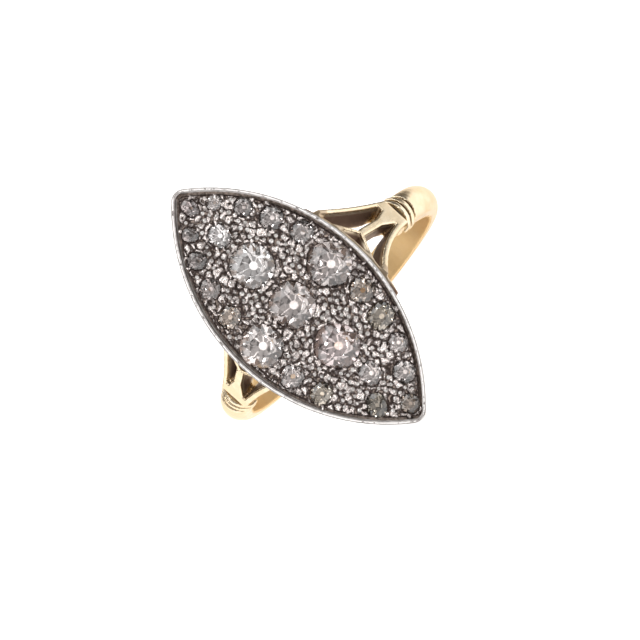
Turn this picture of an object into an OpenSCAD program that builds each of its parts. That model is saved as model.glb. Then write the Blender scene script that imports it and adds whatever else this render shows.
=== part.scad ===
// Navette ring: old-cut diamonds in a silver head, on a yellow gold mount.
// Each piece is drawn as worn: Y runs along the finger and the head's long axis, X runs
// across the head from shoulder to shoulder, and Z points out through the head.
// The middle of the finger hole is at zero. The ring is then laid on its side.

/* [Band] */
// Diameter of the finger hole
finger_d = 17.8; // [17:0.1:18.6]
// Thickness of the band at the middle of its width
band_t = 1.25; // [1.1:0.05:1.5]
// How much thicker the band is behind the collars than between them and the head
band_swell = 0.2; // [0:0.05:0.3]
// Width of the band along the finger
band_w = 2.3; // [1.8:0.1:2.8]
// Height of the band's straight side, below its round back
band_side = 0.55; // [0.4:0.05:0.8]

/* [Shoulders] */
// Angle from the head to the place where each shoulder leaves the round
shoulder_angle = 57; // [56:0.5:58]
// Length of the solid root before the shoulder splits in three
root_length = 0.95; // [0.6:0.05:1.4]
// Depth of the three strands, towards the finger
strand_depth = 1.55; // [1.5:0.05:1.7]
// Width of the outer strands nearer the lower tip, at their top and at their base
lower_strand_w = [0.42, 0.66];
// Width of the outer strands nearer the upper tip, at their top and at their base
upper_strand_w = [0.26, 0.82];
// Width of the middle strand
middle_strand_w = 0.6; // [0.4:0.05:0.8]
// Width of the middle strand where it leaves the root, and the length over which it narrows
middle_root = [1.3, 1.1];
// Length from the collar to the fork of the fishtail, right shoulder and left shoulder
fishtail_at = [4.15, 3.75];
// Width of the fishtail's two arms
fishtail_w = 0.22; // [0.2:0.02:0.4]
// Reach of the fishtail's arms along the head, towards the lower tip and towards the upper one
fishtail_reach = [1.55, 2];
// Sideways lean of the middle strand, right shoulder and left shoulder
middle_lean = [6, 7];

/* [Collar] */
// Length of each of the collar's two ridges round the band, in degrees
ridge_span = 2.2; // [2:0.1:3]
// Length of each of the three grooves beside the ridges, in degrees
groove_span = 1.3; // [0.6:0.1:1.4]
// Height of the ridges over the band
ridge_h = 0.16; // [0.05:0.01:0.2]
// Depth of the grooves under the band's back
groove_depth = 0.2; // [0.08:0.01:0.24]

/* [Head] */
// Width of the navette head
head_w = 11.44; // [11.2:0.02:11.6]
// Radius of the two side arcs of the navette
side_arc_r = 14.8; // [14.5:0.1:15]
// Radius of the rounded tips
tip_r = 0.95; // [0.7:0.05:1.1]
// Height of the rim over the middle of the finger
rim_top = 12; // [11.8:0.05:12.2]
// Depth of the head's silver wall
wall_depth = 1.86; // [1.7:0.02:2]
// Taper of the wall's outside, from the rim down to the gold frame
wall_taper = 0.3; // [0.2:0.02:0.36]
// Thickness of the silver wall
wall_t = 0.5; // [0.4:0.05:0.6]
// Width of the raised rim
rim_w = 0.24; // [0.2:0.01:0.35]
// Width of the sunk channel inside the rim
channel_w = 0.34; // [0.25:0.01:0.45]
// Depth of the pave field below the rim
field_drop = 0.28; // [0.2:0.02:0.36]
// Depth of the channel below the rim
channel_drop = 0.62; // [0.5:0.02:0.7]
// Thickness of the plate that holds the stones
plate_t = 0.85; // [0.75:0.05:1]
// Thickness of the gold frame under the head
frame_t = 0.35; // [0.25:0.05:0.5]
// Distance of the gold frame's outside from the rim's outside
frame_inset = 0.35; // [0.3:0.01:0.4]
// Width of the gold frame under the head
frame_w = 0.8; // [0.7:0.05:1]
// Length of the gold rail beside the wall, at each shoulder
rail_length = 8.6; // [7:0.2:9]
// Distance of the rail's outside from the rim's outside
rail_inset = 0.1; // [0:0.01:0.2]

/* [Stones and grains] */
// Crown height as a share of the stone's width
crown_share = 0.17; // [0.12:0.01:0.2]
// Pavilion depth as a share of the stone's width
pavilion_share = 0.42; // [0.36:0.01:0.46]
// Table as a share of the stone's width
table_share = 0.5; // [0.4:0.01:0.58]
// Culet as a share of the stone's width
culet_share = 0.2; // [0.1:0.01:0.24]
// Squareness of a cushion stone's outline, where 2 is round
squareness = 2.35; // [2:0.05:2.6]
// Gap between a stone and its seat
seat_gap = 0.04; // [0.03:0.01:0.06]
// Distance between the silver grains of the field
grain_pitch = 0.5; // [0.46:0.01:0.6]
// Smallest and largest radius of a grain
grain_r = [0.14, 0.2];

/* [Hidden] */
// Sweep of each outer strand, for the right and the left shoulder, first towards the lower
// tip and then towards the upper one: radius, start before the root, and turn in degrees
SWEEPS = [[[8, 0.2, -3], [30, 1, 16]], [[30, 1, 5], [30, 1, 7]]];
// Name, place across and along the head, size across and along, and turn in degrees
STONES = [
    ["centre_stone", -0.26, 0.38, 3.1, 3.15, 10],
    ["top_stone", 3.52, 0.31, 3.05, 3.1, 40],
    ["bottom_stone", -3.74, 0.1, 2.95, 3, 20],
    ["left_stone", -0.13, 4.2, 2.95, 3.1, 0],
    ["right_stone", -0.26, -3.75, 3, 3.15, 30],
    ["small_stone_01", -0.06, 9.98, 1.05, 1.4, 0],
    ["small_stone_02", 1.33, 9, 1.1, 1.1, 30],
    ["small_stone_03", 2.43, 7.3, 1.3, 1.35, 15],
    ["small_stone_04", -0.12, 7.23, 1.5, 1.7, 0],
    ["small_stone_05", -1.42, 8.75, 1, 1.2, 35],
    ["small_stone_06", -2.42, 7.23, 1.2, 1.4, 30],
    ["small_stone_07", 3.18, 5.38, 1.6, 1.65, 20],
    ["small_stone_08", 3.85, 3.15, 1.65, 1.6, 0],
    ["small_stone_09", -3.24, 5.31, 1.5, 1.5, 45],
    ["small_stone_10", -3.76, 3.05, 1.6, 1.5, 10],
    ["small_stone_11", 3.68, -2.52, 1.8, 1.8, 25],
    ["small_stone_12", 3.23, -4.65, 1.95, 1.75, 10],
    ["small_stone_13", 2.68, -6.7, 1.35, 1.4, 40],
    ["small_stone_14", 1.5, -8.35, 1.5, 1.6, 15],
    ["small_stone_15", -0.12, -6.68, 1.6, 1.7, 0],
    ["small_stone_16", 0.15, -10.05, 1.3, 1.4, 20],
    ["small_stone_17", -1.47, -8.45, 1.4, 1.75, -32],
    ["small_stone_18", -3.42, -5.1, 1.6, 1.45, 5],
    ["small_stone_19", -3.87, -2.82, 1.7, 1.7, 30],
];

$fn = 96;
eps = 0.01;
over = 0.1;
metal_gap = 0.02;
girdle_t = 0.08;
far = 20;

// Band
finger_r = finger_d / 2;
band_r = finger_r + band_t;
crown_sag = band_t - band_side;
crown_r = (band_w * band_w / 4 + crown_sag * crown_sag) / (2 * crown_sag);
collar_span = 3 * groove_span + 2 * ridge_span;

// Shoulders: each follows the straight line that leaves the band's back at shoulder_angle
slope_x = cos(shoulder_angle);
slope_z = sin(shoulder_angle);
start_z = band_r * slope_x;
root_half_w = band_w / 2 - 0.1;

// Head
half_w = head_w / 2;
arc_off = side_arc_r - half_w;
tip_centre_y = sqrt(pow(side_arc_r - tip_r, 2) - arc_off * arc_off);
tip_y = tip_centre_y + tip_r;
wall_bottom = rim_top - wall_depth;
frame_top = wall_bottom - metal_gap;
frame_bottom = frame_top - frame_t;
field_top = rim_top - field_drop;
channel_floor = rim_top - channel_drop;
plate_bottom = field_top - plate_t;
girdle_z = field_top - girdle_t / 2 - eps;
strand_end = (frame_top - start_z) / slope_z + 1;

// The ring lies on its side, on the gold frame's edge at one tip and on the band's edge
side_r = finger_r + band_side + band_swell;
rest_y = tip_y - frame_inset;
lay_angle = atan2(frame_bottom + side_r, rest_y - band_w / 2);
lift = rest_y * sin(lay_angle) - frame_bottom * cos(lay_angle);
back_y = (band_r + band_swell - crown_r) * sin(lay_angle) + crown_r;
front_y = tip_y * cos(lay_angle) + rim_top * sin(lay_angle);
middle_y = (front_y - back_y) / 2;

// The navette outline, moved in by inset
module navette(inset = 0) {
    r = side_arc_r - inset;
    tip = tip_r - inset;
    touch_y = tip_centre_y * r / (side_arc_r - tip_r);
    intersection() {
        translate([arc_off, 0])
            circle(r);
        translate([-arc_off, 0])
            circle(r);
        if (tip > eps)
            square([head_w, 2 * touch_y], center = true);
    }
    if (tip > eps)
        for (side = [-1, 1])
            translate([0, side * tip_centre_y])
                circle(tip);
}

// A tapered body of the navette: full at the top, moved in by taper at the bottom
module navette_taper(taper, bottom, top) {
    h = top - bottom;
    r = side_arc_r - tip_r;
    touch_top = tip_centre_y * side_arc_r / r;
    touch_bottom = tip_centre_y * (side_arc_r - taper) / r;
    translate([0, 0, bottom]) {
        intersection() {
            translate([arc_off, 0, 0])
                cylinder(h = h, r1 = side_arc_r - taper, r2 = side_arc_r);
            translate([-arc_off, 0, 0])
                cylinder(h = h, r1 = side_arc_r - taper, r2 = side_arc_r);
            rotate([90, 0, 90])
                linear_extrude(head_w, center = true)
                    polygon([
                        [-touch_bottom, 0],
                        [touch_bottom, 0],
                        [touch_top, h],
                        [-touch_top, h]
                    ]);
        }
        for (side = [-1, 1])
            translate([0, side * tip_centre_y, 0])
                cylinder(h = h, r1 = tip_r - taper, r2 = tip_r);
    }
}

// A slab of the navette between two heights
module navette_slab(inset, bottom, top) {
    translate([0, 0, bottom])
        linear_extrude(top - bottom)
            navette(inset);
}

// The band's section, with its flat side on the finger; grow makes it fuller, swell only thicker
module band_section(grow = 0, swell = 0) {
    intersection() {
        translate([finger_r - eps, -band_w / 2 - grow])
            square([band_t + swell + grow + eps, band_w + 2 * grow]);
        translate([band_r + swell - crown_r, 0])
            circle(crown_r + grow);
    }
}

// A stretch of the hoop from one angle to another, counted from the head towards +X
module hoop_stretch(from, to, grow = 0, swell = 0) {
    rotate([90, 0, 0])
        rotate([0, 0, 90 - to])
            rotate_extrude(angle = to - from)
                band_section(grow, swell);
}

// The round band between the two collars
module band() {
    start = shoulder_angle + collar_span;
    hoop_stretch(start, 360 - start, 0, band_swell);
}

// One collar: two ridges between three grooves, on a core that joins band and root
module collar() {
    hoop_stretch(shoulder_angle - 1, shoulder_angle + collar_span + 1, -groove_depth);
    for (i = [0, 1]) {
        ridge = shoulder_angle + groove_span + i * (groove_span + ridge_span);
        hoop_stretch(ridge, ridge + ridge_span, ridge_h);
    }
}

// Moves what is drawn along X onto the shoulder's line, with its top at zero on the line
module on_shoulder() {
    rotate([0, shoulder_angle, 0])
        translate([0, 0, band_r])
            mirror([1, 0, 0])
                children();
}

// The round bodies that cut the shoulder's sides into a sweep, each wider by a top and a base width
module sweep_cutters(sweeps, widths = [[0, 0], [0, 0]]) {
    height = strand_depth + 2 * over;
    for (i = [0, 1]) {
        side = 2 * i - 1;
        r = sweeps[i][0];
        top = widths[i][0];
        base = widths[i][1];
        spread = (base - top) / strand_depth * over;
        rotate(side * sweeps[i][2])
            translate([-sweeps[i][1], side * (root_half_w + r), -strand_depth - over])
                cylinder(h = height, r1 = r + base + spread, r2 = r + top - spread);
    }
}

// The solid root and the two outer strands, seen square to the shoulder
module outer_strands(sweeps) {
    reach = head_w / 2;
    difference() {
        translate([0, -reach, -strand_depth])
            cube([strand_end, 2 * reach, strand_depth]);
        sweep_cutters(sweeps);
        difference() {
            translate([root_length, -reach - 1, -strand_depth - over / 2])
                cube([strand_end, 2 * reach + 2, strand_depth + over]);
            sweep_cutters(sweeps, [lower_strand_w, upper_strand_w]);
        }
    }
}

// The outline of the middle strand and of the fishtail it ends in
module fishtail_outline(length, lean) {
    rotate(lean) {
        translate([root_length - 0.2, -middle_strand_w / 2])
            square([length - root_length + 0.2, middle_strand_w]);
        polygon([
            [root_length - 0.2, -middle_root[0] / 2],
            [root_length, -middle_root[0] / 2],
            [root_length + middle_root[1], -middle_strand_w / 2],
            [root_length + middle_root[1], middle_strand_w / 2],
            [root_length, middle_root[0] / 2],
            [root_length - 0.2, middle_root[0] / 2]
        ]);
    }
    fork = [length * cos(lean), length * sin(lean)];
    for (i = [0, 1]) {
        run = [strand_end - 1 - fork[0], (2 * i - 1) * fishtail_reach[i] - fork[1]];
        translate(fork)
            rotate(atan2(run[1], run[0]))
                translate([-fishtail_w, -fishtail_w / 2])
                    square([norm(run) + 2 * fishtail_w, fishtail_w]);
    }
}

// One split shoulder, from the collar up to the gold frame
module shoulder(i) {
    intersection() {
        on_shoulder() {
            outer_strands(SWEEPS[i]);
            translate([0, 0, -strand_depth])
                linear_extrude(strand_depth)
                    fishtail_outline(fishtail_at[i], middle_lean[i]);
        }
        translate([0, -far / 2, 0])
            cube([far, far, frame_top]);
    }
    on_shoulder()
        translate([-2 * eps, 0, 0])
            rotate([90, 0, 90])
                linear_extrude(root_length / 2)
                    translate([0, -band_r])
                        rotate(90)
                            band_section();
}

// The gold frame that the silver head sits on, with a rail beside the rim at each shoulder
module frame() {
    difference() {
        union() {
            navette_slab(frame_inset, frame_bottom, frame_top);
            intersection() {
                navette_slab(rail_inset, frame_bottom, frame_top);
                translate([0, 0, frame_top])
                    cube([far, rail_length, far], center = true);
            }
        }
        navette_slab(frame_inset + frame_w, frame_bottom - 1, frame_top + 1);
    }
}

// Band, collars, shoulders and frame, soldered into one piece round the open finger hole
module gold_mount() {
    color("khaki")
        difference() {
            union() {
                band();
                for (side = [0, 1])
                    mirror([side, 0, 0]) {
                        collar();
                        shoulder(side);
                    }
                frame();
            }
            rotate([90, 0, 0])
                cylinder(h = far, r = finger_r, center = true);
        }
}

// How far a cushion outline reaches at an angle, for a stone of this size
function outline_r(a, w, l) =
    pow(pow(abs(cos(a)) * 2 / w, squareness) + pow(abs(sin(a)) * 2 / l, squareness), -1 / squareness);
// The furthest reach of a stone's outline
function reach(s) = max([for (a = [0:5:90]) outline_r(a, s[3], s[4])]);
// Where a stone stands on the field
function place(s) = [s[1], s[2]];
// A ring of points on a stone, at a share of its outline and at a height
function stone_ring(s, count, first, share, z) = [
    for (i = [0:count - 1])
        let (a = first + i * 360 / count, r = share * outline_r(a, s[3], s[4]))
            [r * cos(a), r * sin(a), z]
];

// An old-cut diamond: table, 8 star, 8 main and 16 girdle facets above, 16 and 8 below, culet
module cut_stone(s) {
    width = (s[3] + s[4]) / 2;
    crown = crown_share * width;
    pavilion = pavilion_share * width;
    star_share = 0.76;
    lower_share = 0.48;
    turn = cos(22.5);
    star_z = crown * (1 - star_share * turn) / (1 - table_share);
    lower_z = -pavilion * (1 - lower_share * turn) / (1 - culet_share * turn);
    half = girdle_t / 2;
    points = concat(
        stone_ring(s, 8, 0, table_share, half + crown),
        stone_ring(s, 8, 22.5, star_share, half + star_z),
        stone_ring(s, 16, 0, 1, half),
        stone_ring(s, 16, 0, 1, -half),
        stone_ring(s, 8, 22.5, lower_share, -half + lower_z),
        stone_ring(s, 8, 22.5, culet_share, -half - pavilion)
    );
    function table(i) = i % 8;
    function star(i) = 8 + i % 8;
    function upper(i) = 16 + i % 16;
    function under(i) = 32 + i % 16;
    function lower(i) = 48 + i % 8;
    function culet(i) = 56 + i % 8;
    faces = concat(
        [[for (i = [7:-1:0]) table(i)], [for (i = [0:7]) culet(i)]],
        [for (i = [0:7]) [table(i + 1), star(i), table(i)]],
        [for (i = [0:7]) [upper(2 * i), star(i + 7), table(i)]],
        [for (i = [0:7]) [star(i), upper(2 * i), table(i)]],
        [for (i = [0:7]) [upper(2 * i + 1), upper(2 * i), star(i)]],
        [for (i = [0:7]) [upper(2 * i + 2), upper(2 * i + 1), star(i)]],
        [for (i = [0:15]) [under(i + 1), under(i), upper(i)]],
        [for (i = [0:15]) [upper(i + 1), under(i + 1), upper(i)]],
        [for (i = [0:7]) [under(2 * i), under(2 * i + 1), lower(i)]],
        [for (i = [0:7]) [under(2 * i + 1), under(2 * i + 2), lower(i)]],
        [for (i = [0:7]) [lower(i), lower(i + 7), under(2 * i)]],
        [for (i = [0:7]) [culet(i), culet(i + 7), lower(i + 7)]],
        [for (i = [0:7]) [lower(i), culet(i), lower(i + 7)]]
    );
    color("gainsboro")
        translate([s[1], s[2], girdle_z])
            rotate(s[5])
                polyhedron(points, faces);
}

// The tapered seat cut for a stone, open to the back under its culet
module seat(s) {
    r = reach(s) + seat_gap;
    depth = pavilion_share * (s[3] + s[4]) / 2;
    open_r = culet_share * reach(s) + seat_gap;
    translate([s[1], s[2], girdle_z - girdle_t]) {
        cylinder(h = 1, r = r);
        translate([0, 0, -depth])
            cylinder(h = depth, r1 = open_r, r2 = r);
        translate([0, 0, -far / 10])
            cylinder(h = far / 10, r = max(open_r, 0.28));
    }
}

// Distance from a point on the head to the side of the navette
function side_room(p) = side_arc_r - max(norm(p + [arc_off, 0]), norm(p - [arc_off, 0]));
// Whether a grain of this radius is clear of the stones, the channel and the rim
function grain_fits(p, r) =
    side_room(p) > rim_w + channel_w + r
    && min([for (s = STONES) norm(p - place(s)) - reach(s)]) > seat_gap + r + eps;
// A spread of sizes from smallest to largest that repeats without a visible order
function grain_size(i, j) = grain_r[0] + (grain_r[1] - grain_r[0]) * abs((i * 37 + j * 61) % 11) / 11;

// The raised grains that fill the field between the stones
module grains() {
    row_step = grain_pitch * sin(60);
    rows = ceil(tip_y / row_step);
    across = ceil(half_w / grain_pitch);
    for (j = [-rows:rows], i = [-across:across]) {
        p = [(i + abs(j % 2) / 2) * grain_pitch, j * row_step];
        r = grain_size(i, j);
        if (grain_fits(p, r))
            translate([p[0], p[1], field_top - r / 4])
                sphere(r);
    }
}

// The silver head: wall and rim, channel, plate with its seats, and grains
module silver_setting() {
    color("dimgray")
        difference() {
            union() {
                difference() {
                    navette_taper(wall_taper, wall_bottom, rim_top);
                    navette_slab(rim_w, field_top, rim_top + 1);
                    difference() {
                        navette_slab(rim_w, channel_floor, rim_top);
                        navette_slab(rim_w + channel_w, channel_floor - 1, rim_top);
                    }
                    navette_slab(wall_t, wall_bottom - 1, plate_bottom);
                }
                grains();
            }
            for (s = STONES)
                seat(s);
        }
}

// Lays the ring on its side, with zero under the middle of its box
module laid() {
    translate([0, middle_y, lift])
        rotate([lay_angle, 0, 0])
            children();
}

laid() gold_mount();
laid() silver_setting();
for (s = STONES)
    laid() cut_stone(s);
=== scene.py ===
"""Navette ring: old-cut stones in a silver head on a gold mount, laid on its side in a bright studio."""

import logging
import math
import random
from dataclasses import dataclass, field
from enum import Enum
from typing import TypeAlias

import bpy
from mathutils import Matrix, Vector, noise


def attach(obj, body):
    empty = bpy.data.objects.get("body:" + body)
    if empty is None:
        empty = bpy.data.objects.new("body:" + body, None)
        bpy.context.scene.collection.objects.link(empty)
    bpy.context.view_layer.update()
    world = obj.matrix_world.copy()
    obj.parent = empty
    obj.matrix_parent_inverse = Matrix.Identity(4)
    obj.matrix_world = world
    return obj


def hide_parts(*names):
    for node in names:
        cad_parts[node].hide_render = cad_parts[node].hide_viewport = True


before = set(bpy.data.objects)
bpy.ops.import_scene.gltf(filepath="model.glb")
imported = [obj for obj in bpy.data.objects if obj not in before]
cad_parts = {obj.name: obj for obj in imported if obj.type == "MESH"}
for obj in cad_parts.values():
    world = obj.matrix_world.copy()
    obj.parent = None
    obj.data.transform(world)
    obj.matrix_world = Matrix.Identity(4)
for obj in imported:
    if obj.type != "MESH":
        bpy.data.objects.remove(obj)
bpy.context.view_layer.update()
MM = 0.001
LOG = logging.getLogger("navette_ring")


@dataclass(frozen=True)
class Lay:
    """How the ring lies: from the frame it is worn in to the frame it lies in, in millimetres."""

    angle: float = 62.968813
    lift: float = 5.410061
    middle_y: float = 3.25656

    def turn(self) -> Matrix:
        """The turn alone, as a 3 by 3 matrix."""
        return Matrix.Rotation(math.radians(self.angle), 3, "X")

    def matrix(self) -> Matrix:
        """The whole move, from worn millimetres to lying metres."""
        move = self.turn().to_4x4()
        move.translation = Vector((0, self.middle_y, self.lift))
        return Matrix.Scale(MM, 4) @ move

    def axis(self, name: str) -> tuple[float, float, float]:
        """One of the worn axes, as a direction in the lying frame.

        Args:
            name: X, Y or Z.

        Returns:
            The direction as three numbers.
        """
        unit = Vector([1.0 if letter == name else 0.0 for letter in "XYZ"])
        return tuple(self.turn() @ unit)


LAY = Lay()


@dataclass(frozen=True)
class Navette:
    """The pointed oval outline of the head, in worn millimetres."""

    width: float = 11.44
    side_radius: float = 14.8
    tip_radius: float = 0.95

    def offset(self) -> float:
        """How far each side arc's centre is from the middle."""
        return self.side_radius - self.width / 2

    def room(self, x: float, y: float) -> float:
        """Distance of a point from the outline, positive inside."""
        side = self.side_radius - math.hypot(abs(x) + self.offset(), y)
        return min(side, self.tip_y() - abs(y))

    def tip_centre(self) -> float:
        """Where each tip's round has its centre."""
        reach = self.side_radius - self.tip_radius
        return math.sqrt(reach * reach - self.offset() ** 2)

    def tip_y(self) -> float:
        """Half the length of the head."""
        return self.tip_centre() + self.tip_radius

    def points(self, inset: float, count: int = 48) -> list[tuple[float, float]]:
        """Points round the outline, moved in by inset.

        Args:
            inset: Distance from the outline.
            count: Points on each side arc.

        Returns:
            The points in order, counterclockwise.
        """
        radius = self.side_radius - inset
        tip = max(self.tip_radius - inset, 0.02)
        half = math.atan2(self.tip_centre(), self.offset())
        right = [(-half + 2 * half * i / count) for i in range(count + 1)]
        arc = [(radius * math.cos(a) - self.offset(), radius * math.sin(a)) for a in right]
        spread = math.pi / 2 - half
        steps = 8
        top = []
        for i in range(1, steps):
            angle = half + 2 * spread * i / steps
            top.append((tip * math.cos(angle), self.tip_centre() + tip * math.sin(angle)))
        first = arc + top
        return first + [(-x, -y) for x, y in first]


HEAD = Navette()

# Heights on the head, in worn millimetres from the middle of the finger
RIM_TOP = 12.0
FIELD_TOP = 11.72
GIRDLE_Z = 11.67

# How far the wall's outside leans in for each millimetre down from the rim
WALL_LEAN = 0.161

# The old cut: half the girdle's height, then shares of the stone's size
HALF_GIRDLE = 0.04
CROWN_SHARE = 0.17
PAVILION_SHARE = 0.42
CULET_SHARE = 0.083

# How square a cushion outline is, where 2 is round
SQUARENESS = 2.35


@dataclass(frozen=True)
class Seat:
    """Where one stone sits: its node, place and size on the head, in worn millimetres."""

    node: str
    x: float
    y: float
    width: float
    length: float
    turn: float

    def size(self) -> float:
        """The mean of the stone's width and length."""
        return (self.width + self.length) / 2

    def reach(self, angle: float) -> float:
        """How far the stone's cushion outline reaches in a direction of the head."""
        own = angle - math.radians(self.turn)
        across = abs(math.cos(own)) * 2 / self.width
        along = abs(math.sin(own)) * 2 / self.length
        return (across**SQUARENESS + along**SQUARENESS) ** (-1 / SQUARENESS)


SEATS = [
    Seat("centre_stone", -0.26, 0.38, 3.1, 3.15, 10),
    Seat("top_stone", 3.52, 0.31, 3.05, 3.1, 40),
    Seat("bottom_stone", -3.74, 0.1, 2.95, 3, 20),
    Seat("left_stone", -0.13, 4.2, 2.95, 3.1, 0),
    Seat("right_stone", -0.26, -3.75, 3, 3.15, 30),
    Seat("small_stone_01", -0.06, 9.98, 1.05, 1.4, 0),
    Seat("small_stone_02", 1.33, 9, 1.1, 1.1, 30),
    Seat("small_stone_03", 2.43, 7.3, 1.3, 1.35, 15),
    Seat("small_stone_04", -0.12, 7.23, 1.5, 1.7, 0),
    Seat("small_stone_05", -1.42, 8.75, 1, 1.2, 35),
    Seat("small_stone_06", -2.42, 7.23, 1.2, 1.4, 30),
    Seat("small_stone_07", 3.18, 5.38, 1.6, 1.65, 20),
    Seat("small_stone_08", 3.85, 3.15, 1.65, 1.6, 0),
    Seat("small_stone_09", -3.24, 5.31, 1.5, 1.5, 45),
    Seat("small_stone_10", -3.76, 3.05, 1.6, 1.5, 10),
    Seat("small_stone_11", 3.68, -2.52, 1.8, 1.8, 25),
    Seat("small_stone_12", 3.23, -4.65, 1.95, 1.75, 10),
    Seat("small_stone_13", 2.68, -6.7, 1.35, 1.4, 40),
    Seat("small_stone_14", 1.5, -8.35, 1.5, 1.6, 15),
    Seat("small_stone_15", -0.12, -6.68, 1.6, 1.7, 0),
    Seat("small_stone_16", 0.15, -10.05, 1.3, 1.4, 20),
    Seat("small_stone_17", -1.47, -8.45, 1.4, 1.75, -32),
    Seat("small_stone_18", -3.42, -5.1, 1.6, 1.45, 5),
    Seat("small_stone_19", -3.87, -2.82, 1.7, 1.7, 30),
]


Value: TypeAlias = "Wire | float"
Colour: TypeAlias = tuple[float, float, float]


class Wire:
    """A socket in a material's node tree that can be worked with like a number."""

    def __init__(self, sheet: "Sheet", socket: bpy.types.NodeSocket | None) -> None:
        """Keeps the sheet it belongs to and the socket."""
        self.sheet = sheet
        self.socket = socket

    def _math(self, kind: str, left: Value, right: Value) -> "Wire":
        """One Math node."""
        return self.sheet.node("ShaderNodeMath", {"operation": kind}, {0: left, 1: right})

    def __add__(self, other: Value) -> "Wire":
        """Sum."""
        return self._math("ADD", self, other)

    def __radd__(self, other: Value) -> "Wire":
        """Sum, reflected."""
        return self._math("ADD", other, self)

    def __sub__(self, other: Value) -> "Wire":
        """Difference."""
        return self._math("SUBTRACT", self, other)

    def __rsub__(self, other: Value) -> "Wire":
        """Difference, reflected."""
        return self._math("SUBTRACT", other, self)

    def __mul__(self, other: Value) -> "Wire":
        """Product."""
        return self._math("MULTIPLY", self, other)

    def __rmul__(self, other: Value) -> "Wire":
        """Product, reflected."""
        return self._math("MULTIPLY", other, self)

    def larger(self, other: Value) -> "Wire":
        """The larger of two values."""
        return self._math("MAXIMUM", self, other)

    def smaller(self, other: Value) -> "Wire":
        """The smaller of two values."""
        return self._math("MINIMUM", self, other)

    def size(self) -> "Wire":
        """The value without its sign."""
        return self._math("ABSOLUTE", self, 0.0)

    def root(self) -> "Wire":
        """Square root."""
        return self._math("SQRT", self, 0.0)

    def step(self, low: float, high: float) -> "Wire":
        """A smooth step from 0 at low to 1 at high, or the other way round if low is the larger."""
        turned = low > high
        ends = (high, low) if turned else (low, high)
        ramp = self.sheet.node(
            "ShaderNodeMapRange",
            {"interpolation_type": "SMOOTHSTEP"},
            {"Value": self, "From Min": ends[0], "From Max": ends[1]},
        )
        return 1 - ramp if turned else ramp


class Sheet:
    """One material's node tree, written as expressions."""

    def __init__(self, name: str) -> None:
        """Starts a material with an empty tree.

        Args:
            name: The material's name.
        """
        self.material = bpy.data.materials.new(name)
        self.material.use_nodes = True
        self.tree = self.material.node_tree
        self.tree.nodes.clear()

    def node(self, kind: str, settings: dict, inputs: dict, output: int | str = 0) -> Wire:
        """Adds any node.

        Args:
            kind: The node's type.
            settings: Its properties, set first.
            inputs: Values or wires for its sockets, by name or number.
            output: Which output to return.

        Returns:
            The output as a wire.
        """
        made = self.tree.nodes.new(kind)
        for key, value in settings.items():
            setattr(made, key, value)
        for key, value in inputs.items():
            socket = made.inputs[key]
            if isinstance(value, Wire):
                self.tree.links.new(value.socket, socket)
            else:
                socket.default_value = value
        return Wire(self, made.outputs[output] if made.outputs else None)

    def spot(self) -> Wire:
        """The point on the piece, in metres."""
        return self.node("ShaderNodeTexCoord", {}, {}, "Object")

    def along(self, name: str) -> Wire:
        """The point's worn coordinate on one axis, in millimetres."""
        axis = Vector(LAY.axis(name)) / MM
        start = Vector((0, LAY.middle_y, LAY.lift)) * MM
        ends = {0: self.spot(), 1: tuple(axis)}
        dot = self.node("ShaderNodeVectorMath", {"operation": "DOT_PRODUCT"}, ends, "Value")
        return dot - axis.dot(start)

    def angle(self, rise: Wire, run: Wire) -> Wire:
        """The angle of a direction, in radians."""
        return self.node("ShaderNodeMath", {"operation": "ARCTAN2"}, {0: rise, 1: run})

    def noise(self, scale: float, detail: float = 3.0, rough: float = 0.55, warp: float = 0.0) -> Wire:
        """Noise on the piece, with scale in features per millimetre."""
        return self.node(
            "ShaderNodeTexNoise",
            {},
            {
                "Vector": self.spot(),
                "Scale": scale / MM,
                "Detail": detail,
                "Roughness": rough,
                "Distortion": warp,
            },
            "Fac",
        )

    def mix(self, share: Value, low: Wire | Colour, high: Wire | Colour) -> Wire:
        """A colour between two colours."""
        low = low if isinstance(low, Wire) else (*low, 1.0)
        high = high if isinstance(high, Wire) else (*high, 1.0)
        return self.node("ShaderNodeMix", {"data_type": "RGBA"}, {0: share, 6: low, 7: high}, 2)

    def bump(self, height: Wire, strength: float, distance: float) -> Wire:
        """A normal from a height, with distance in millimetres."""
        inputs = {"Height": height, "Strength": strength, "Distance": distance * MM}
        return self.node("ShaderNodeBump", {}, inputs)

    def surface(self, **inputs: Value) -> bpy.types.Material:
        """Ends the tree in a Principled shader.

        Args:
            inputs: Its sockets, with spaces written as underscores.

        Returns:
            The finished material.
        """
        named = {key.replace("_", " "): value for key, value in inputs.items()}
        shader = self.node("ShaderNodeBsdfPrincipled", {}, named)
        self.node("ShaderNodeOutputMaterial", {}, {"Surface": shader})
        return self.material


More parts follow.
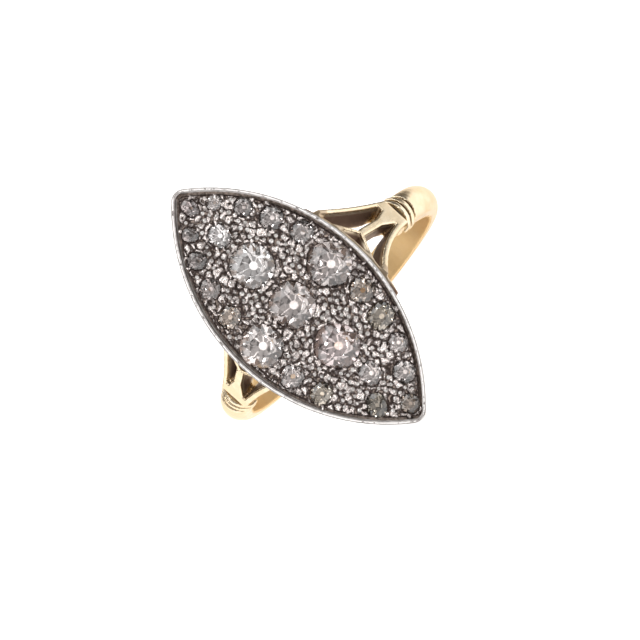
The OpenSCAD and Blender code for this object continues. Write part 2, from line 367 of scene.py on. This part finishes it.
@dataclass(frozen=True)
class GoldFinish:
    """Old yellow gold: bright worn skin, painted shade with brown tarnish on the strands' sides between
    them and on the frame under the head, painted deep shade in the collar's grooves, and a darker tan
    painted as shade inside the hoop.
    """

    skin: Colour = (0.71, 0.58, 0.395)
    pale: Colour = (0.76, 0.66, 0.5)
    # Painted shade with brown tarnish, for the strands' sides and the frame under the head
    shade_and_tarnish: Colour = (0.19, 0.12, 0.085)
    # Painted deep shade for the collar's grooves
    deep_shade: Colour = (0.09, 0.055, 0.04)
    # A darker tan painted as shade inside the hoop
    shaded_inner: Colour = (0.7, 0.48, 0.22)
    edge: Colour = (0.8, 0.71, 0.6)
    band_radius: float = 10.15
    crown_radius: float = 1.2946
    bore_radius: float = 8.95
    shoulder_angle: float = 57.0
    collar_start: float = 57.1
    collar_end: float = 66.4
    strands_z: float = 6.0
    rail_z: float = 9.6

    def build(self) -> bpy.types.Material:
        """Makes the material."""
        sheet = Sheet("worn_gold")
        x, y, z = sheet.along("X"), sheet.along("Y"), sheet.along("Z")
        lean = math.radians(self.shoulder_angle)
        skin_depth = x.size() * math.sin(lean) + z * math.cos(lean) - self.band_radius
        ring = (x * x + z * z).root()
        crown = ring - (self.band_radius - self.crown_radius)
        hoop_depth = (crown * crown + y * y).root() - self.crown_radius
        fork = z.step(self.strands_z, self.strands_z + 0.5)
        # The strands' sides, below the outer skin, which get painted shade with tarnish
        strands = skin_depth.step(-0.08, -0.5) * skin_depth.step(-1.52, -1.3) * fork
        around = sheet.angle(x.size(), z) * (180 / math.pi)
        collar = around.step(self.collar_start, self.collar_start + 0.3)
        collar = collar * around.step(self.collar_end, self.collar_end - 0.6)
        # The collar's grooves, which get painted deep shade
        groove = hoop_depth.step(-0.02, -0.15) * collar * ring.step(9.6, 9.8)
        # The frame just under the head, which gets painted shade with tarnish at a little under half
        # strength
        rail = z.step(self.rail_z, self.rail_z + 0.2)
        cloud = sheet.noise(0.9, 4.0, 0.6, 0.4)
        fine = sheet.noise(6.0, 3.0, 0.6)
        # Painted shade with tarnish: full on the strands' sides, weaker on the frame under the head
        dark = (strands.larger(rail * 0.45) * (0.8 + 0.45 * fine)).smaller(1.0)
        # The inside of the hoop, which gets painted shade and rougher metal
        bore = ring.step(self.bore_radius + 0.2, self.bore_radius) * z.step(7.0, 6.0)
        metal = sheet.mix(cloud.step(0.35, 0.7), self.skin, self.pale)
        # Painted shade inside the hoop
        metal = sheet.mix(bore * 0.8, metal, self.shaded_inner)
        # Painted shade with tarnish on the strands' sides and the frame under the head
        colour = sheet.mix(dark, metal, self.shade_and_tarnish)
        # Painted deep shade in the collar's grooves
        colour = sheet.mix(groove, colour, self.deep_shade)
        rough = 0.16 + 0.12 * fine + 0.22 * dark + 0.22 * bore
        scratches = sheet.bump(fine + 0.6 * sheet.noise(22.0, 2.0), 0.12, 0.02)
        return sheet.surface(
            Base_Color=colour,
            Metallic=1.0 - 0.35 * dark.larger(groove),
            Roughness=rough,
            Specular_Tint=(*self.edge, 1.0),
            Normal=scratches,
        )


@dataclass(frozen=True)
class SilverFinish:
    """Old silver: bright rim and grains, dark tarnish in the channel and between the grains."""

    bright: Colour = (0.86, 0.83, 0.81)
    grey: Colour = (0.5, 0.47, 0.455)
    wall: Colour = (0.62, 0.595, 0.575)
    tarnish: Colour = (0.2, 0.16, 0.138)
    rim_width: float = 0.26

    def build(self) -> bpy.types.Material:
        """Makes the material."""
        sheet = Sheet("tarnished_silver")
        x, y, z = sheet.along("X"), sheet.along("Y"), sheet.along("Z")
        across = x.size() + HEAD.offset()
        side = HEAD.side_radius - (across * across + y * y).root()
        fine = sheet.noise(4.5, 4.0, 0.62, 0.6)
        spots = sheet.noise(1.6, 3.0, 0.6)
        rim = side.step(self.rim_width + 0.08, self.rim_width)
        inside = 1 - rim
        raised = (z + 0.05 * fine).step(FIELD_TOP + 0.03, FIELD_TOP + 0.12) * inside
        outer_wall = (side - WALL_LEAN * (RIM_TOP - z)).step(0.07, 0.03)
        clean = rim.larger(raised) * (0.72 + 0.5 * fine).smaller(1.0)
        clean = clean.smaller(1.0)
        dark = sheet.mix(fine.step(0.38, 0.7), self.tarnish, tuple(c * 3.0 for c in self.tarnish))
        worn = sheet.mix(spots.step(0.35, 0.65), self.grey, self.bright)
        colour = sheet.mix(clean, dark, worn)
        colour = sheet.mix(outer_wall * 0.85, colour, self.wall)
        rough = 0.42 - 0.2 * clean + 0.12 * fine
        bump = sheet.bump(fine + 0.5 * sheet.noise(14.0, 2.0), 0.35, 0.05)
        return sheet.surface(
            Base_Color=colour,
            Metallic=0.6 + 0.4 * clean,
            Roughness=rough,
            Normal=bump,
        )


@dataclass(frozen=True)
class GrainFinish:
    """The silver grains: polished on top by wear, dark at their feet and in old tarnish."""

    foot: float = FIELD_TOP - 0.02
    top: float = FIELD_TOP + 0.14
    bright: Colour = (0.97, 0.89, 0.855)
    tarnish: Colour = (0.06, 0.043, 0.038)

    def build(self) -> bpy.types.Material:
        """Makes the material."""
        sheet = Sheet("grain_silver")
        z = sheet.along("Z")
        fine = sheet.noise(5.0, 3.0, 0.6, 0.5)
        patch = sheet.noise(1.3, 3.0, 0.6)
        clean = (z + 0.2 * (fine - 0.5)).step(self.foot, self.top) * patch.step(0.25, 0.55)
        colour = sheet.mix(clean, self.tarnish, self.bright)
        rough = 0.28 - 0.19 * clean + 0.05 * fine
        bump = sheet.bump(fine + 0.6 * sheet.noise(9.0, 2.0, 0.5, 0.3), 0.8, 0.09)
        return sheet.surface(Base_Color=colour, Metallic=0.9, Roughness=rough, Normal=bump)


@dataclass(frozen=True)
class RimFinish:
    """The rim's worn edge, with small nicks: a painted highlight and a painted glow along its outside,
    and painted shade greying its inside.
    """

    # The painted highlight and painted glow along the rim's outside
    bright: Colour = (0.95, 0.92, 0.9)
    tarnish: Colour = (0.2, 0.17, 0.16)
    # Painted shade: the clean metal on the rim's inside, greyer
    shaded_inner: Colour = (0.4, 0.365, 0.35)

    def build(self) -> bpy.types.Material:
        """Makes the material."""
        sheet = Sheet("rim_silver")
        x, y = sheet.along("X"), sheet.along("Y")
        across = x.size() + HEAD.offset()
        side = HEAD.side_radius - (across * across + y * y).root()
        fine = sheet.noise(3.2, 4.0, 0.65, 0.4)
        clean = fine.step(0.34, 0.49)
        # The rim's outside, where the painted highlight goes
        lit_crest = side.step(0.22, 0.14) * clean
        colour = sheet.mix(clean, self.tarnish, self.shaded_inner)
        colour = sheet.mix(lit_crest, colour, self.bright)
        # A painted glow on the same outside, though the rim is no lamp
        painted_glow = sheet.mix(lit_crest, (0, 0, 0), self.bright)
        bump = sheet.bump(fine, 0.3, 0.05)
        return sheet.surface(
            Base_Color=colour,
            Metallic=0.08,
            Roughness=0.38 + 0.15 * fine,
            # The painted glow and its strength
            Emission_Color=painted_glow,
            Emission_Strength=0.22,
            Normal=bump,
        )


class Tint(Enum):
    """The body colours of the old stones."""

    CLEAR = (1.0, 0.895, 0.865)
    PINK = (1.0, 0.85, 0.835)
    BROWN = (1.0, 0.82, 0.69)
    OLIVE = (1.0, 0.87, 0.72)
    GREY = (1.0, 0.87, 0.835)


@dataclass(frozen=True)
class StoneFinish:
    """Old-cut diamond of one tint, greyed by a lightness of its own, with painted light and dark facets
    and, where given, a painted glow at the culet.
    """

    tint: Tint
    light: float
    # Strength of a painted glow at the culet
    culet_glow: float = 0.0
    # How dark the painted dark facets and how light the painted light facets are, as shares of the
    # lightness
    deepest: float = 0.42
    palest: float = 1.5

    def painted_facets(self, sheet: Sheet, seat: Seat, x: Wire, y: Wire, z: Wire) -> Wire:
        """A painted tone between dark and light, drawn by chance for each large facet, the table apart.

        Args:
            sheet: The material's sheet.
            seat: The stone's seat.
            x: Place across the head, from the stone's middle.
            y: Place along the head, from the stone's middle.
            z: Height on the head.

        Returns:
            The tone, from 0 to 1.
        """
        sector = (sheet.angle(y, x) - math.radians(seat.turn)) * (4 / math.pi) + 16.5
        whole = sheet.node("ShaderNodeMath", {"operation": "FLOOR"}, {0: sector})
        part = sheet.node("ShaderNodeMath", {"operation": "MODULO"}, {0: whole, 1: 8.0})
        table = GIRDLE_Z + HALF_GIRDLE + CROWN_SHARE * seat.size()
        flat = z.step(table - 0.02, table - 0.01)
        under = z.step(GIRDLE_Z + 0.01, GIRDLE_Z - 0.01)
        key = part + 11.0 * under + (seat.x * 3.7 + seat.y)
        chance = sheet.node("ShaderNodeTexWhiteNoise", {"noise_dimensions": "1D"}, {"W": key}, "Value")
        return chance * (1 - flat) + 0.5 * flat

    def build(self, seat: Seat) -> bpy.types.Material:
        """Makes the material.

        Args:
            seat: The stone's seat.

        Returns:
            The material.
        """
        sheet = Sheet("diamond_" + seat.node)
        depth = GIRDLE_Z - HALF_GIRDLE - PAVILION_SHARE * seat.size()
        x, y, z = sheet.along("X") - seat.x, sheet.along("Y") - seat.y, sheet.along("Z")
        reach = CULET_SHARE * seat.size()
        middle = (x * x + y * y).root().step(reach + 0.02, reach - 0.02)
        # A painted glow at the culet, as if light came through it
        spot = z.step(depth + 0.03, depth + 0.01) * middle * self.culet_glow
        painted_glow = sheet.mix(spot, (0, 0, 0), (1.0, 0.97, 0.94))
        haze = sheet.noise(1.1, 3.0, 0.6, 0.5)
        # Painted light and dark facets, with a cloudy tone by chance
        tone = 0.35 * haze.step(0.35, 0.65) + 0.65 * self.painted_facets(sheet, seat, x, y, z)
        # The painted dark and light ends of the facets' tones
        deep_shade = tuple(c * self.light * self.deepest for c in self.tint.value)
        pale = tuple(min(1.0, c * self.light * self.palest) for c in self.tint.value)
        colour = sheet.mix(tone, deep_shade, pale)
        return sheet.surface(
            Base_Color=colour,
            Roughness=0.04,
            IOR=1.8,
            Transmission_Weight=1.0,
            # The painted culet glow and its strength
            Emission_Color=painted_glow,
            Emission_Strength=0.45,
        )


class Bench:
    """The hand work that every piece shares: selecting, modifying and finishing meshes."""

    @staticmethod
    def clear() -> None:
        """Leaves nothing selected."""
        if bpy.context.object and bpy.context.object.mode != "OBJECT":
            bpy.ops.object.mode_set(mode="OBJECT")
        bpy.ops.object.select_all(action="DESELECT")

    @staticmethod
    def pick(piece: bpy.types.Object) -> None:
        """Selects one piece alone and makes it active."""
        Bench.clear()
        piece.select_set(True)
        bpy.context.view_layer.objects.active = piece

    @staticmethod
    def copy(node: str, name: str) -> bpy.types.Object:
        """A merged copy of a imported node's mesh.

        Args:
            node: The node to copy.
            name: The new piece's name.

        Returns:
            The new piece, at the world's origin.
        """
        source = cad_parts[node]
        piece = bpy.data.objects.new(name, source.data.copy())
        bpy.context.scene.collection.objects.link(piece)
        Bench.pick(piece)
        bpy.ops.object.mode_set(mode="EDIT")
        bpy.ops.mesh.select_all(action="SELECT")
        bpy.ops.mesh.remove_doubles(threshold=1e-7)
        bpy.ops.object.mode_set(mode="OBJECT")
        return piece

    @staticmethod
    def modify(piece: bpy.types.Object, kind: str, **settings: object) -> None:
        """Adds a modifier, sets it up and applies it."""
        Bench.pick(piece)
        modifier = piece.modifiers.new(kind.lower(), kind)
        for key, value in settings.items():
            setattr(modifier, key, value)
        bpy.ops.object.modifier_apply(modifier=modifier.name)

    @staticmethod
    def join(parts: list[bpy.types.Object], name: str) -> bpy.types.Object:
        """Joins parts into one piece.

        Args:
            parts: The pieces to join.
            name: The joined piece's name.

        Returns:
            The joined piece.
        """
        Bench.pick(parts[0])
        for part in parts:
            part.select_set(True)
        bpy.ops.object.join()
        joined = bpy.context.object
        joined.name = name
        joined.data.name = name
        return joined

    @staticmethod
    def dress(piece: bpy.types.Object, material: bpy.types.Material, slot: str | None = None) -> None:
        """Gives a piece its material, and a new piece its body."""
        piece.data.materials.clear()
        piece.data.materials.append(material)
        if slot:
            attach(piece, "root")


@dataclass
class GoldMount:
    """The gold shank, shoulders and frame, with the soft edges of long wear."""

    voxel: float = 0.066
    smoothing: int = 6
    kept: float = 0.5
    finish: GoldFinish = field(default_factory=GoldFinish)

    def build(self) -> bpy.types.Object:
        """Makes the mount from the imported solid, rounds its edges and dresses it."""
        piece = Bench.copy("gold_mount", "worn_gold_mount")
        Bench.modify(piece, "REMESH", mode="VOXEL", voxel_size=self.voxel * MM, adaptivity=0.0)
        Bench.modify(piece, "SMOOTH", factor=0.5, iterations=self.smoothing)
        Bench.modify(piece, "DECIMATE", ratio=self.kept)
        Bench.pick(piece)
        bpy.ops.object.shade_smooth()
        Bench.dress(piece, self.finish.build(), "gold")
        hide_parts("gold_mount")
        LOG.info("gold mount: %d faces", len(piece.data.polygons))
        return piece


@dataclass
class Rim:
    """The worn round edge on top of the silver wall."""

    inset: float = 0.125
    radius: float = 0.125
    proud: float = 0.015
    finish: RimFinish = field(default_factory=RimFinish)

    def build(self) -> bpy.types.Object:
        """Sweeps a round edge along the navette."""
        outline = HEAD.points(self.inset)
        Bench.clear()
        bpy.ops.mesh.primitive_circle_add(vertices=len(outline), radius=MM, fill_type="NOTHING")
        piece = bpy.context.object
        piece.name = "silver_rim_edge"
        lay = LAY.matrix()
        for vertex, (x, y) in zip(piece.data.vertices, outline):
            vertex.co = lay @ Vector((x, y, RIM_TOP - self.radius + self.proud))
        bpy.ops.object.convert(target="CURVE")
        curve = bpy.context.object.data
        curve.bevel_depth = self.radius * MM
        curve.bevel_resolution = 2
        bpy.ops.object.convert(target="MESH")
        piece = bpy.context.object
        bpy.ops.object.shade_smooth()
        Bench.dress(piece, self.finish.build(), "silver")
        LOG.info("rim: %d faces", len(piece.data.polygons))
        return piece


class GrainKind(Enum):
    """The shapes of a grain, each with its stretch before it is roughened."""

    ROUND = (1, 1, 1)
    CRESCENT = (1.5, 0.6, 1)
    WORN = (1.15, 1, 0.9)
    SLIVER = (1.4, 0.5, 1)


@dataclass(frozen=True)
class GrainLot:
    """Grains scattered in one go: their radii, how far apart they keep, and how many are tried."""

    smallest: float
    largest: float
    apart: float
    tries: int


@dataclass
class GrainField:
    """The crowd of small silver grains raised between the stones."""

    seed: int = 7
    edge: float = 0.44
    row_pitch: float = 0.42
    row_gaps: float = 0.45
    row_apart: float = 0.8
    roughness: float = 0.3
    lots: tuple[GrainLot, ...] = (GrainLot(0.18, 0.26, 2.2, 300), GrainLot(0.12, 0.17, 1.6, 300))
    finish: GrainFinish = field(default_factory=GrainFinish)

    def shape(self, kind: GrainKind, seed: int) -> bpy.types.Mesh:
        """Models one grain of radius 1 about the field's surface.

        Args:
            kind: The grain's shape.
            seed: What its roughness is drawn from.

        Returns:
            Its mesh.
        """
        Bench.clear()
        bpy.ops.mesh.primitive_uv_sphere_add(segments=8, ring_count=6, radius=1.0)
        grain = bpy.context.object
        bpy.ops.object.mode_set(mode="EDIT")
        bpy.ops.mesh.select_all(action="SELECT")
        bpy.ops.transform.resize(value=kind.value)
        bpy.ops.transform.vertex_random(offset=self.roughness, seed=seed)
        bpy.ops.object.mode_set(mode="OBJECT")
        if kind is GrainKind.CRESCENT:
            for vertex in grain.data.vertices:
                vertex.co.y += 0.4 * vertex.co.x**2 - 0.35
        if kind is GrainKind.WORN:
            for vertex in grain.data.vertices:
                vertex.co.z = min(vertex.co.z, 0.6 + 0.25 * vertex.co.x)
        if kind is GrainKind.ROUND:
            bpy.ops.object.shade_smooth()
        mesh = grain.data
        bpy.data.objects.remove(grain)
        return mesh

    def places(self) -> list[tuple[float, float, float]]:
        """Where grains stand: close rows round each stone, then scattered over the field.

        Returns:
            For each grain its x and y in worn millimetres, and its radius.
        """
        chance = random.Random(self.seed)
        made: list[tuple[float, float, float]] = []

        def fits(x: float, y: float, r: float, edge: float, overlap: float, apart: float) -> bool:
            """Whether a grain keeps off the channel, the stones and the grains that stand already."""
            if HEAD.room(x, y) <= edge:
                return False
            for seat in SEATS:
                angle = math.atan2(y - seat.y, x - seat.x)
                if math.hypot(x - seat.x, y - seat.y) < seat.reach(angle) - overlap:
                    return False
            return all(math.hypot(x - a, y - b) > apart * (r + c) for a, b, c in made)

        for seat in SEATS:
            count = round(2 * math.pi * seat.width / 2 / self.row_pitch)
            first = chance.uniform(0, 1)
            for i in range(count):
                angle = (i + first + chance.uniform(-0.25, 0.25)) * 2 * math.pi / count
                r = chance.uniform(0.14, 0.21)
                if chance.random() < self.row_gaps:
                    continue
                away = seat.reach(angle) + r * chance.uniform(0.45, 0.9)
                x, y = seat.x + away * math.cos(angle), seat.y + away * math.sin(angle)
                if fits(x, y, r, self.edge, 0.06, self.row_apart):
                    made.append((x, y, r))
        for lot in self.lots:
            for _ in range(lot.tries):
                x = chance.uniform(-5.6, 5.6)
                y = chance.uniform(-11.4, 11.4)
                r = chance.uniform(lot.smallest, lot.largest)
                if fits(x, y, r, self.edge + 0.3 * r, -0.5 * r, lot.apart):
                    made.append((x, y, r))
        return made

    def build(self) -> bpy.types.Object:
        """Copies the grain shapes to their places and joins them."""
        chance = random.Random(self.seed + 1)
        shapes = [self.shape(kind, seed) for seed, kind in enumerate(GrainKind, start=3)]
        round_one, crescent, worn, sliver = shapes
        lay = LAY.matrix()
        parts = []
        for x, y, r in self.places():
            mesh = chance.choice((round_one, crescent, crescent, worn, worn, sliver)).copy()
            tilt = Matrix.Rotation(chance.uniform(-0.6, 0.6), 4, "X")
            spin = Matrix.Rotation(chance.uniform(0, 2 * math.pi), 4, "Z")
            high = FIELD_TOP + r * chance.uniform(-0.4, 0.15)
            place = Matrix.Translation((x, y, high))
            mesh.transform(lay @ place @ spin @ tilt @ Matrix.Scale(r, 4))
            part = bpy.data.objects.new("grain", mesh)
            bpy.context.scene.collection.objects.link(part)
            parts.append(part)
        count = len(parts)
        piece = Bench.join(parts, "silver_grains")
        Bench.dress(piece, self.finish.build(), "silver")
        LOG.info("grains: %d, %d faces", count, len(piece.data.polygons))
        return piece


@dataclass
class FieldSkin:
    """The field's own skin between the stones: silver raised by the graver into crowded nuggets."""

    seed: int = 5
    pitch: float = 0.56
    grid: float = 0.046
    rise: float = 0.3
    edge: float = 0.5
    overlap: float = 0.04
    ease: float = 0.14
    sunk: float = 0.03
    thickness: float = 0.12
    warp: float = 0.13
    groove: float = 0.5
    pit: float = 0.3
    pit_depth: float = 0.9
    lean: float = 1.6
    ripple: float = 0.16
    finish: GrainFinish = field(
        default_factory=lambda: GrainFinish(foot=FIELD_TOP + 0.02, top=FIELD_TOP + 0.16)
    )

    def room(self, x: float, y: float) -> float:
        """Distance of a point from the nearest stone or from the channel, positive on the field."""
        nearest = HEAD.room(x, y) - self.edge
        for seat in SEATS:
            away = math.hypot(x - seat.x, y - seat.y)
            if away < 2.2:
                angle = math.atan2(y - seat.y, x - seat.x)
                nearest = min(nearest, away - seat.reach(angle))
        return nearest

    def height(self, x: float, y: float) -> float:
        """How high a point of the skin is raised, as a share of the rise."""
        here = Vector((x, y, 0.0))
        spot = (here + self.warp * noise.noise_vector(here * 2.4)) / self.pitch
        spot.z = 0.3
        distances, places = noise.voronoi(spot)
        dome = min(1.0, (distances[1] - distances[0]) / self.groove)
        dome = dome * dome * (3 - 2 * dome)
        chance = noise.cell_vector(places[0] * 5.3)
        aside = spot - places[0]
        lean = (aside.x * (chance.y - 0.5) + aside.y * (chance.z - 0.5)) * self.lean
        pit = max(0.0, 1.0 - distances[0] / self.pit) * (self.pit_depth if chance.y > 0.5 else 0.0)
        nugget = dome * (0.4 + 0.6 * chance.x + lean - pit)
        return nugget + self.ripple * noise.noise(here * 6.0)

    def build(self) -> bpy.types.Object:
        """Raises a grid into nuggets, cuts the stones out of it and gives it a thickness."""
        noise.seed_set(self.seed)
        Bench.clear()
        half_x, half_y = HEAD.width / 2, HEAD.tip_y()
        count_x, count_y = round(2 * half_x / self.grid), round(2 * half_y / self.grid)
        bpy.ops.mesh.primitive_grid_add(x_subdivisions=count_x, y_subdivisions=count_y, size=2.0)
        piece = bpy.context.object
        piece.name = piece.data.name = "silver_field"
        bpy.ops.object.mode_set(mode="EDIT")
        bpy.ops.mesh.select_all(action="DESELECT")
        bpy.ops.object.mode_set(mode="OBJECT")
        lay = LAY.matrix()
        for vertex in piece.data.vertices:
            x, y = vertex.co.x * half_x, vertex.co.y * half_y
            room = self.room(x, y) + self.overlap
            vertex.select = room < 0
            ease = max(0.0, min(1.0, room / self.ease))
            raised = self.sunk + self.rise * self.height(x, y) if room > 0 else self.sunk
            vertex.co = lay @ Vector((x, y, FIELD_TOP - self.sunk + ease * raised))
        bpy.ops.object.mode_set(mode="EDIT")
        bpy.ops.mesh.delete(type="VERT")
        bpy.ops.object.mode_set(mode="OBJECT")
        Bench.modify(piece, "SOLIDIFY", thickness=self.thickness * MM, offset=-1.0)
        Bench.pick(piece)
        bpy.ops.object.shade_smooth()
        Bench.dress(piece, self.finish.build(), "silver")
        LOG.info("field: %d faces", len(piece.data.polygons))
        return piece


@dataclass
class Stones:
    """The diamonds, each kept as packed and given its own tint and lightness."""

    looks: dict[str, StoneFinish] = field(
        # Each stone: its tint, its lightness, and how strong its painted culet glow is
        default_factory=lambda: {
            "centre_stone": StoneFinish(Tint.CLEAR, 0.55, 1.0),
            "top_stone": StoneFinish(Tint.CLEAR, 0.55, 0.7),
            "bottom_stone": StoneFinish(Tint.CLEAR, 0.68, 0.7),
            "left_stone": StoneFinish(Tint.CLEAR, 0.86, 1.0),
            "right_stone": StoneFinish(Tint.PINK, 0.58, 1.0),
            "small_stone_01": StoneFinish(Tint.PINK, 0.52, 0),
            "small_stone_02": StoneFinish(Tint.CLEAR, 0.68, 0.6),
            "small_stone_03": StoneFinish(Tint.GREY, 0.36, 0.3),
            "small_stone_04": StoneFinish(Tint.PINK, 0.95, 1.0),
            "small_stone_05": StoneFinish(Tint.GREY, 0.34, 0),
            "small_stone_06": StoneFinish(Tint.GREY, 0.34, 0),
            "small_stone_07": StoneFinish(Tint.CLEAR, 0.52, 0.7),
            "small_stone_08": StoneFinish(Tint.CLEAR, 0.5, 0.6),
            "small_stone_09": StoneFinish(Tint.GREY, 0.5, 0),
            "small_stone_10": StoneFinish(Tint.BROWN, 0.56, 0),
            "small_stone_11": StoneFinish(Tint.BROWN, 0.42, 0),
            "small_stone_12": StoneFinish(Tint.OLIVE, 0.4, 0),
            "small_stone_13": StoneFinish(Tint.CLEAR, 0.56, 0.8),
            "small_stone_14": StoneFinish(Tint.CLEAR, 0.5, 0.8),
            "small_stone_15": StoneFinish(Tint.CLEAR, 0.6, 1.0),
            "small_stone_16": StoneFinish(Tint.BROWN, 0.34, 0),
            "small_stone_17": StoneFinish(Tint.OLIVE, 0.25, 0),
            "small_stone_18": StoneFinish(Tint.OLIVE, 0.6, 0.6),
            "small_stone_19": StoneFinish(Tint.CLEAR, 0.58, 0.8),
        }
    )

    def build(self) -> None:
        """Dresses every stone."""
        for seat in SEATS:
            Bench.dress(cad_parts[seat.node], self.looks[seat.node].build(seat))
        LOG.info("stones: %d", len(SEATS))


@dataclass
class SilverHead:
    """The silver head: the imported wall, channel and plate, with the rim's edge and the grains added."""

    finish: SilverFinish = field(default_factory=SilverFinish)
    rim: Rim = field(default_factory=Rim)
    grains: GrainField = field(default_factory=GrainField)
    skin: FieldSkin = field(default_factory=FieldSkin)

    def build(self) -> None:
        """Dresses the head and makes its fine silver work."""
        Bench.dress(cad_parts["silver_setting"], self.finish.build())
        self.rim.build()
        self.grains.build()
        self.skin.build()


@dataclass(frozen=True)
class Lamp:
    """A soft light: where it hangs and how wide and high it is, in metres, and its watts."""

    name: str
    place: tuple[float, float, float]
    size: tuple[float, float]
    power: float


@dataclass
class Studio:
    """Floor, lights and camera."""

    distance: float = 1200.0
    picture_px: int = 640
    pixels_per_mm: float = 14.8
    tilt_across: float = 0.13
    tilt_along: float = 0.12
    roll: float = -0.6
    middle_px: tuple[float, float] = (298.2, 306.0)
    picture_up: tuple[float, float] = (0.7396, 0.6730)
    sensor: float = 36.0
    air: Colour = (1.0, 0.96, 0.93)
    air_light: float = 0.18
    lamps: tuple[Lamp, ...] = (
        Lamp("above", (0.0, 0.2, 0.9), (0.9, 0.9), 6.0),
        Lamp("right", (0.7, -0.1, 0.3), (0.3, 0.6), 1.4),
        Lamp("left", (-0.7, 0.0, 0.35), (0.3, 0.6), 1.1),
        Lamp("behind", (-0.45, 0.55, 0.5), (0.5, 0.5), 1.0),
        Lamp("spark", (-0.25, -0.35, 0.45), (0.1, 0.1), 0.6),
        Lamp("front", (-0.09, -0.57, 0.41), (0.62, 0.4), 0.36),
    )

    def axes(self) -> tuple[Vector, Vector, Vector]:
        """The camera's right, up and back directions in the worn frame."""
        back = Vector((self.tilt_across, -self.tilt_along, 0))
        back.z = math.sqrt(1 - back.length_squared)
        up = Vector((*self.picture_up, 0))
        up = (up - up.dot(back) * back).normalized()
        up = Matrix.Rotation(math.radians(self.roll), 3, back) @ up
        return up.cross(back), up, back

    def camera(self) -> None:
        """Places the camera as the photograph was taken, above the floor."""
        right, up, back = (LAY.turn() @ axis for axis in self.axes())
        view = bpy.data.cameras.new("camera")
        view.sensor_width = self.sensor
        view.lens = self.sensor * self.distance * self.pixels_per_mm / self.picture_px
        view.clip_start = 0.01
        view.clip_end = 20
        head = LAY.matrix() @ Vector((0, 0, RIM_TOP))
        aside = (self.middle_px[0] - self.picture_px / 2) / self.pixels_per_mm * MM
        below = (self.middle_px[1] - self.picture_px / 2) / self.pixels_per_mm * MM
        centre = head - right * aside + up * below
        holder = bpy.data.objects.new("camera", view)
        place = Matrix((right, up, back)).transposed().to_4x4()
        place.translation = centre + back * self.distance * MM
        holder.matrix_world = place
        bpy.context.scene.collection.objects.link(holder)
        bpy.context.scene.camera = holder

    def floor(self) -> None:
        """Lays a plain pale floor."""
        Bench.clear()
        bpy.ops.mesh.primitive_plane_add(size=6.0)
        plane = bpy.context.object
        plane.name = "floor"
        sheet = Sheet("pale_floor")
        grain = sheet.noise(0.02, 2.0)
        colour = sheet.mix(grain, (0.93, 0.93, 0.93), (0.95, 0.95, 0.95))
        white = sheet.surface(
            Base_Color=colour,
            Roughness=0.9,
            Specular_IOR_Level=0.1,
            Emission_Color=colour,
            Emission_Strength=0.75,
        )
        plane.data.materials.append(white)

    def hang(self, lamp: Lamp) -> None:
        """Hangs a lamp so that it faces the ring."""
        light = bpy.data.lights.new(lamp.name, "AREA")
        light.shape = "RECTANGLE"
        light.size, light.size_y = lamp.size
        light.energy = lamp.power
        holder = bpy.data.objects.new(lamp.name, light)
        aim = Vector((0, -0.002, 0.01)) - Vector(lamp.place)
        turn = aim.to_track_quat("-Z", "Y").to_matrix().to_4x4()
        turn.translation = Vector(lamp.place)
        holder.matrix_world = turn
        bpy.context.scene.collection.objects.link(holder)

    def world(self) -> None:
        """Fills the room with even pale light."""
        room = bpy.data.worlds.new("room")
        room.use_nodes = True
        ground = room.node_tree.nodes["Background"]
        ground.inputs["Color"].default_value = (*self.air, 1)
        ground.inputs["Strength"].default_value = self.air_light
        bpy.context.scene.world = room

    def build(self) -> None:
        """Sets up the whole studio."""
        self.world()
        self.floor()
        for lamp in self.lamps:
            self.hang(lamp)
        self.camera()
        bpy.context.scene.view_settings.view_transform = "Standard"


def main() -> None:
    """Builds the ring and its studio in order."""
    logging.basicConfig(level=logging.INFO, format="%(name)s %(message)s")
    Studio().build()
    GoldMount().build()
    SilverHead().build()
    Stones().build()


if __name__ == "__main__":
    main()
